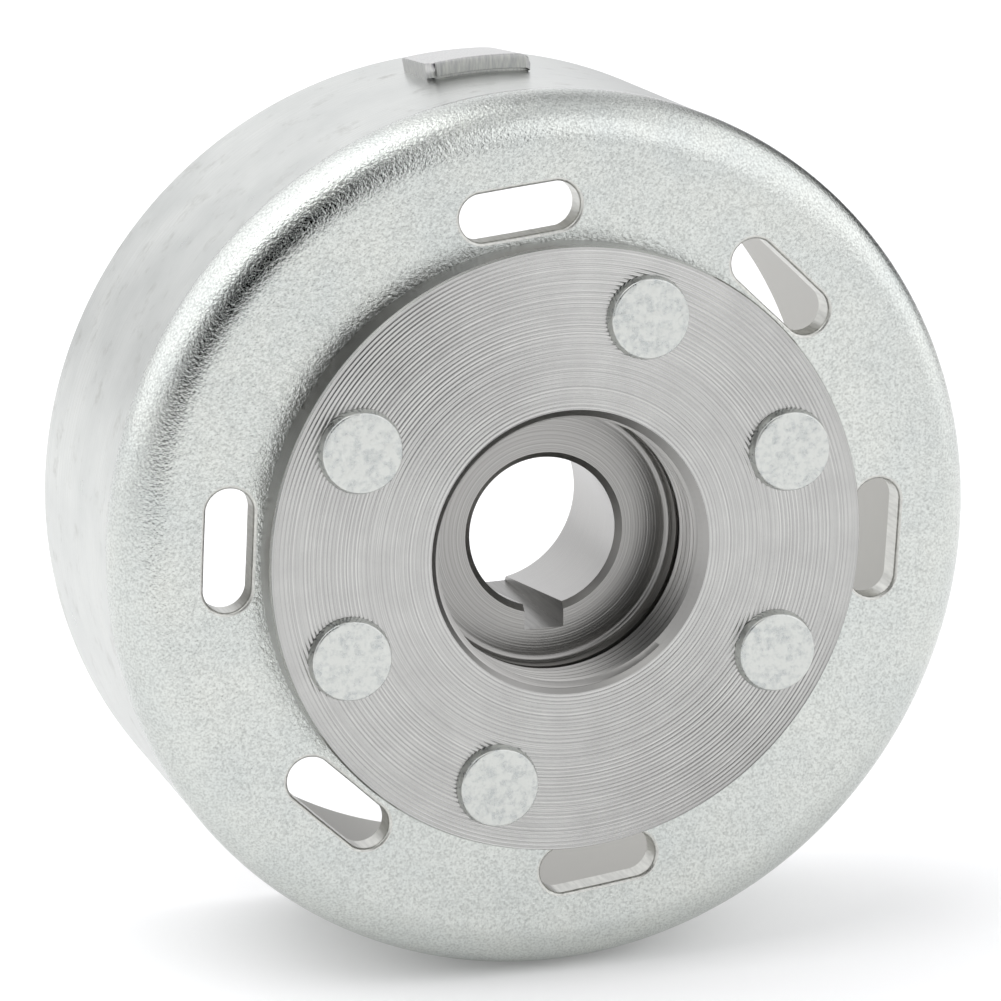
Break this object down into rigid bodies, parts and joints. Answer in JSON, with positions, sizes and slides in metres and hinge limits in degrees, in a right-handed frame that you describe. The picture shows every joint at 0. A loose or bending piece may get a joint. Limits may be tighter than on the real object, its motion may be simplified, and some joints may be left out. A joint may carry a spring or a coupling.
{
  "type": "magneto flywheel",
  "caption": "Outer-rotor magneto flywheel: pressed steel cup riveted to a turned hub with a taper bore and puller thread, magnets and a timing lug.",
  "frame": {"origin": "where the crankshaft's axis meets the outer face of the hub", "axes": "+Y along the crankshaft's axis into the engine, towards the open rim; +Z from the axis towards the timing lug; the key slot lies towards -Z"},
  "size_m": [0.088, 0.038, 0.0895],
  "materials": {
    "turned_steel": "turned, bare",
    "zinc_plated_steel": "zinc plated, satin",
    "rivet_steel": "zinc plated, flattened",
    "ferrite": "ground, matte",
    "cage_plastic": "moulded, matte",
    "stainless_sheet": "drawn, satin"
  },
  "bodies": {
    "root": {"hub": "turned_steel", "rotor_cup": "zinc_plated_steel", "rivet_1": "rivet_steel", "rivet_2": "rivet_steel", "rivet_3": "rivet_steel", "rivet_4": "rivet_steel", "rivet_5": "rivet_steel", "rivet_6": "rivet_steel", "timing_lug": "zinc_plated_steel", "magnet_1": "ferrite", "magnet_2": "ferrite", "magnet_3": "ferrite", "magnet_4": "ferrite", "magnet_5": "ferrite", "magnet_6": "ferrite", "magnet_7": "ferrite", "magnet_8": "ferrite", "magnet_9": "ferrite", "magnet_10": "ferrite", "magnet_11": "ferrite", "magnet_12": "ferrite", "magnet_cage": "cage_plastic", "magnet_sleeve": "stainless_sheet"}
  },
  "joints": []
}
